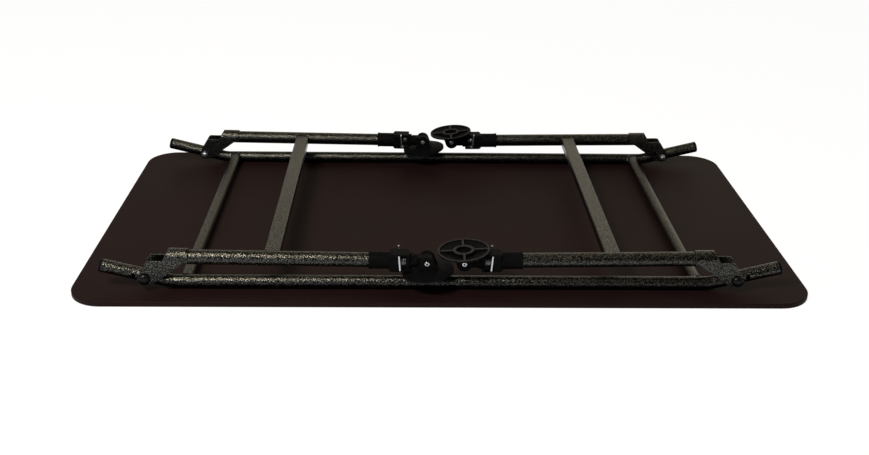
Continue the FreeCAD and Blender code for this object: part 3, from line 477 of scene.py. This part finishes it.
def bar_end_path(side, row):
    path = []
    for step in range(BAR_STEPS):
        angle = 2 * math.pi * step / BAR_STEPS
        along = BAR_HALF_WIDTH * math.copysign(abs(math.cos(angle)) ** BAR_SQUARENESS, math.cos(angle))
        height = BAR_HALF_HEIGHT * math.copysign(abs(math.sin(angle)) ** BAR_SQUARENESS, math.sin(angle))
        reach = math.sqrt(LEG_RADIUS ** 2 - height ** 2)
        spot = Vector((BAR_ALONG + along, row * (RAIL_Y - reach), LEG_OFFSET + height)) * MM
        path.append(leg_place(side, 0) @ spot / MM)
    return path


for side, hand in (("left", -1), ("right", 1)):
    finish_node(side + "_leg_bar", hammer_paint)
    bar_beads = join_meshes([weld_bead(bar_end_path(hand, row), True, BAR_BEAD) for row in (-1, 1)])
    add_piece(side + "_bar_welds", bar_beads, hammer_paint, side + "_legs", "hammer_paint")
    for row in ("near", "far"):
        finish_node(f"{side}_{row}_leg", hammer_paint)

# Hinge brackets: steel sheet folded over the end of each leg, its two cheeks reaching down
# to the pivot bolt. Their cut edges are slightly rounded under the paint.
SHEET_EDGE = 0.45
CRISP_ANGLE = math.radians(32)


# A copy of a solid's mesh with its crisp edges rounded.
def softened(node, radius):
    bm = bmesh.new()
    bm.from_mesh(nodes[node].data)
    bmesh.ops.remove_doubles(bm, verts=bm.verts, dist=0.005 * MM)
    bmesh.ops.dissolve_limit(bm, angle_limit=math.radians(0.4), verts=bm.verts, edges=bm.edges)
    inner = [edge for edge in bm.edges if len(edge.link_faces) == 2]
    crisp = [edge for edge in inner if edge.calc_face_angle() > CRISP_ANGLE]
    bmesh.ops.bevel(bm, geom=crisp, offset=radius * MM, offset_type="OFFSET", segments=2, profile=0.5,
                    affect="EDGES", clamp_overlap=True, material=-1)
    return bm


LEGS = [(side, row, f"{side}_{row}") for side in ("left", "right") for row in ("near", "far")]


def even_shade(piece):
    shade = piece.modifiers.new("even_shade", "WEIGHTED_NORMAL")
    shade.keep_sharp = True


for side, row, leg in LEGS:
    node = leg + "_hinge_bracket"
    bracket = softened(node, SHEET_EDGE)
    piece = add_piece(leg + "_folded_bracket", bracket, hammer_paint, side + "_legs", "hammer_paint", node)
    even_shade(piece)

# Lock housings: black nylon mouldings pressed on the leg ends, a sleeve and a square block.
# A window through the block shows the lock plate and its spring,
# and a stop under the block closes the rest of the slot beside the plate's heel.
HOUSING_EDGE = 0.6
REACH = {"left": 357.502, "right": 350.002}
HEEL_STOP, HEEL_STOP_PLACE = (2.3, 12.6, 1.4), (14.1, 0, -13.25)


def lock_place(side, row):
    hands = {"left": -1, "right": 1, "near": -1, "far": 1}
    along = Vector((REACH[side], 0, LEG_OFFSET)) * MM
    return leg_place(hands[side], hands[row]) @ Matrix.Translation(along)


def add_heel_stop(bm, place):
    extent = Matrix.Diagonal(Vector(HEEL_STOP) * MM).to_4x4()
    middle = Matrix.Translation(Vector(HEEL_STOP_PLACE) * MM)
    bmesh.ops.create_cube(bm, size=1, matrix=place @ middle @ extent)
    return bm


for side, row, leg in LEGS:
    node = leg + "_lock_housing"
    housing = add_heel_stop(softened(node, HOUSING_EDGE), lock_place(side, row))
    piece = add_piece(leg + "_moulded_housing", housing, black_plastic, side + "_legs", "black_plastic", node)
    even_shade(piece)

# Lock plates and springs: a stamped zinc-plated plate leans on the inner leg and grips it,
# pushed over by a coil spring of round wire with closed ends, in darker drawn steel.
PLATE_EDGE = 0.3
WIRE_STEEL = ("#6C6D70", "#85868A")
SPRING_START, SPRING_END, SPRING_RADIUS, WIRE = 19.0, 25.3, 10.4, 0.7
END_TURNS, OPEN_TURNS, COIL_GAP = 0.75, 2, 0.05
STEPS_PER_TURN = 56


def make_spring():
    bm = bmesh.new()
    ring = bmesh.ops.create_circle(bm, segments=14, radius=WIRE * MM)["verts"]
    bmesh.ops.rotate(bm, cent=(0, 0, 0), matrix=Matrix.Rotation(math.pi / 2, 3, "X"), verts=ring)
    bmesh.ops.translate(bm, vec=(SPRING_RADIUS * MM, 0, SPRING_START * MM), verts=ring)
    live = first = bm.edges[:]
    close_rise = 2 * WIRE + COIL_GAP
    open_rise = (SPRING_END - SPRING_START - 2 * END_TURNS * close_rise) / OPEN_TURNS
    for turns, rise in ((END_TURNS, close_rise), (OPEN_TURNS, open_rise), (END_TURNS, close_rise)):
        made = bmesh.ops.spin(bm, geom=live, cent=(0, 0, 0), axis=(0, 0, 1), angle=2 * math.pi * turns,
                              steps=int(turns * STEPS_PER_TURN), dvec=(0, 0, rise * MM / STEPS_PER_TURN))
        live = [item for item in made["geom_last"] if isinstance(item, bmesh.types.BMEdge)]
    for end in (first, live):
        bmesh.ops.edgeloop_fill(bm, edges=end)
    return bm


wire_steel = make_steel("drawn_spring_steel", WIRE_STEEL)
for side, row, leg in LEGS:
    node = leg + "_lock_plate"
    plate = softened(node, PLATE_EDGE)
    piece = add_piece(leg + "_stamped_plate", plate, zinc_steel, leg + "_lock_lever", "zinc_steel", node)
    even_shade(piece)
    along_leg = lock_place(side, row) @ Matrix.Rotation(math.pi / 2, 4, "Y")
    spring = gather(make_spring(), [along_leg])
    add_piece(leg + "_coil_spring", spring, wire_steel, side + "_legs", "zinc_steel", leg + "_lock_spring")

# Inner legs: painted tubes that slide in the outer legs and carry the ankles.
# Each has a natural nylon bush on its hidden end, which guides it.
for side, row, leg in LEGS:
    finish_node(leg + "_inner_leg", hammer_paint)
    finish_node(leg + "_guide_bush", white_nylon)

# Ankles and feet: black nylon mouldings. The foot is a dished disc with a rim, a hub ring
# and four ribs under it, and two ears that hold it to the ankle's tongue with a hollow rivet.
MOULD_EDGE, FOOT_EDGE = 0.5, 0.8
# The grey near the sole's ground face is partly scuffing and partly a painted highlight on the rim, ring and
# ribs.
SHEEN_AND_SCUFF_GREY, SHEEN_AND_SCUFF_DEPTH = "#303032", 1.1
SHEEN_AND_SCUFF_PATCH = 4 * MM
FOOT_DEPTH = 18.3
FOOT_TILT = {"left_near": 6, "left_far": 7, "right_near": 4, "right_far": 6}
RIVET = [(1.4, 13.4), (1.5, 13.9), (1.9, 14.1), (2.8, 14.05), (3.5, 13.7), (3.9, 13.2), (3.95, 12.95),
         (2.45, 12.9)]


def make_rivet():
    back = [(radius, -height) for radius, height in reversed(RIVET)]
    return turn(RIVET + back + RIVET[:1], 32)


# Sheened, scuffed nylon: the same black nylon, lighter grey in patches where the rim, ring and ribs meet the
# ground, partly scuffing and partly a painted highlight for the light those edges catch.
def make_sheened_scuffed_nylon():
    material, tree = new_material("sheened_scuffed_black_nylon")
    place = object_place(tree)
    flow = add(tree, "TexNoise", {"Vector": place, "Scale": 1 / FLOW, "Detail": 3})
    sheen_and_scuff_patches = add(tree, "TexNoise", {"Vector": place, "Scale": 1 / SHEEN_AND_SCUFF_PATCH, "Detail": 4})
    clean = blend(tree, flow.outputs["Fac"], *PLASTIC)
    height = add(tree, "Attribute", {}, attribute_name="sole_height")
    sheen_and_scuff_zone = add(tree, "MapRange", {"Value": height.outputs["Fac"], "From Min": 0.0, "From Max": SHEEN_AND_SCUFF_DEPTH,
                                  "To Min": 1.0, "To Max": 0.0})
    patchy = add(tree, "MapRange", {"Value": sheen_and_scuff_patches.outputs["Fac"], "From Min": 0.3, "From Max": 0.6,
                                    "To Min": 0.35})
    # Painted highlight and scuff: lighter grey where the sole is low, in patches.
    sheen_and_scuff = add(tree, "Math", {0: sheen_and_scuff_zone.outputs[0], 1: patchy.outputs[0]}, operation="MULTIPLY")
    mixed = add(tree, "MixRGB", {"Fac": sheen_and_scuff.outputs[0], "Color1": clean, "Color2": linear(SHEEN_AND_SCUFF_GREY)})
    relief = add(tree, "Bump", {"Height": sheen_and_scuff_patches.outputs["Fac"], "Strength": 0.3, "Distance": 0.1 * MM})
    coat(tree, {"Base Color": mixed.outputs[0], "Roughness": 0.5, "Normal": relief.outputs[0],
                "Specular IOR Level": 0.02})
    return material


sheened_scuffed_nylon = make_sheened_scuffed_nylon()


# Each vertex of a foot keeps its height above the ground face of the sole, in millimetres.
def mark_sole(foot, pin, sole_way):
    height = foot.data.attributes.new("sole_height", "FLOAT", "POINT")
    for vert, mark in zip(foot.data.vertices, height.data):
        mark.value = FOOT_DEPTH - (vert.co - pin).dot(sole_way) / MM


for side, row, leg in LEGS:
    node, body = leg + "_ankle", leg + "_tilting_foot"
    ankle = softened(node, MOULD_EDGE)
    even_shade(add_piece(leg + "_moulded_ankle", ankle, black_plastic, leg + "_inner", "black_plastic", node))
    disc = softened(leg + "_foot", FOOT_EDGE)
    foot = add_piece(leg + "_ribbed_foot", disc, sheened_scuffed_nylon, body, "black_plastic", leg + "_foot")
    even_shade(foot)
    low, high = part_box(leg + "_foot_pin")
    middle = (low + high) / 2
    tilt = Matrix.Rotation(math.radians(-FOOT_TILT[leg]), 3, "Y")
    mark_sole(foot, middle, tilt @ Vector((0, 0, 1 if side == "right" else -1)))
    pin = Matrix.Translation(middle) @ Matrix.Rotation(math.pi / 2, 4, "X")
    rivet = gather(make_rivet(), [pin])
    add_piece(leg + "_hollow_rivet", rivet, zinc_steel, body, "zinc_steel", leg + "_foot_pin")

# Floor and light: a white floor, a warm softbox above the left front corner, two weak cool lamps
# at the left and in front, and a surround that is brighter behind the table.
# The floor is white to the camera and in reflections, and still takes the table's shadow.
FLOOR, FLOOR_REACH, FLOOR_DROP = "#F4F4F4", 20, 0.5 * MM
GLOW, GLOW_SHARE = 1.04, 0.9
SURROUND, BRIGHT_SIDE = "#FFF5DE", (0.8, 1, 0.35)
floor_mesh = bmesh.new()
bmesh.ops.create_grid(floor_mesh, x_segments=1, y_segments=1, size=FLOOR_REACH)
bmesh.ops.translate(floor_mesh, vec=(0, 0, -FLOOR_DROP), verts=floor_mesh.verts)
ground = bpy.data.meshes.new("floor")
floor_mesh.to_mesh(ground)
floor_mesh.free()
floor = bpy.data.objects.new("floor", ground)
scene.collection.objects.link(floor)


def make_floor_paint():
    material, tree = new_material("white_studio_floor")
    path = add(tree, "LightPath", {})
    seen = path.outputs["Is Camera Ray"]
    for ray in ("Is Glossy Ray", "Is Transmission Ray"):
        seen = add(tree, "Math", {0: seen, 1: path.outputs[ray]}, operation="ADD", use_clamp=True).outputs[0]
    share = add(tree, "Math", {0: seen, 1: GLOW_SHARE}, operation="MULTIPLY")
    matt = add(tree, "BsdfDiffuse", {"Color": linear(FLOOR)})
    white = add(tree, "Emission", {"Color": (1, 1, 1, 1), "Strength": GLOW})
    mixed = add(tree, "MixShader", {"Fac": share.outputs[0], 1: matt.outputs[0], 2: white.outputs[0]})
    add(tree, "OutputMaterial", {"Surface": mixed.outputs[0]})
    return material


ground.materials.append(make_floor_paint())


def add_lamp(name, place, target, width, power, colour):
    lamp = bpy.data.lights.new(name, "AREA")
    lamp.shape = "RECTANGLE"
    lamp.size, lamp.size_y = width
    lamp.energy = power
    lamp.color = linear(colour)[:3]
    holder = bpy.data.objects.new(name, lamp)
    aim = (Vector(target) - Vector(place)).to_track_quat("-Z", "Y")
    holder.matrix_world = Matrix.Translation(place) @ aim.to_matrix().to_4x4()
    scene.collection.objects.link(holder)


add_lamp("overhead_softbox", (-1.06, -1.45, 2.0), (0, 0, 0), (0.8, 0.45), 64, "#FFF4E0")
add_lamp("side_window", (-1.6, -1.2, 0.9), (0, -0.2, 0.05), (0.3, 0.5), 7, "#CFE0FF")
add_lamp("front_fill", (-1.1, -3.0, 0.9), (-0.2, 0, 0.1), (1.6, 1.0), 7, "#D4E2FF")
world = bpy.data.worlds.new("studio")
scene.world = world
world.use_nodes = True
sky = world.node_tree
sky.nodes.clear()
way = add(sky, "TexCoord", {}).outputs["Generated"]
behind = add(sky, "VectorMath", {0: way, 1: BRIGHT_SIDE}, operation="DOT_PRODUCT")
glow = add(sky, "MapRange", {"Value": behind.outputs["Value"], "From Min": -0.1, "From Max": 1.3,
                             "To Min": 0.09, "To Max": 0.82})
surround = add(sky, "Background", {"Color": linear(SURROUND), "Strength": glow.outputs[0]})
add(sky, "OutputWorld", {"Surface": surround.outputs[0]})
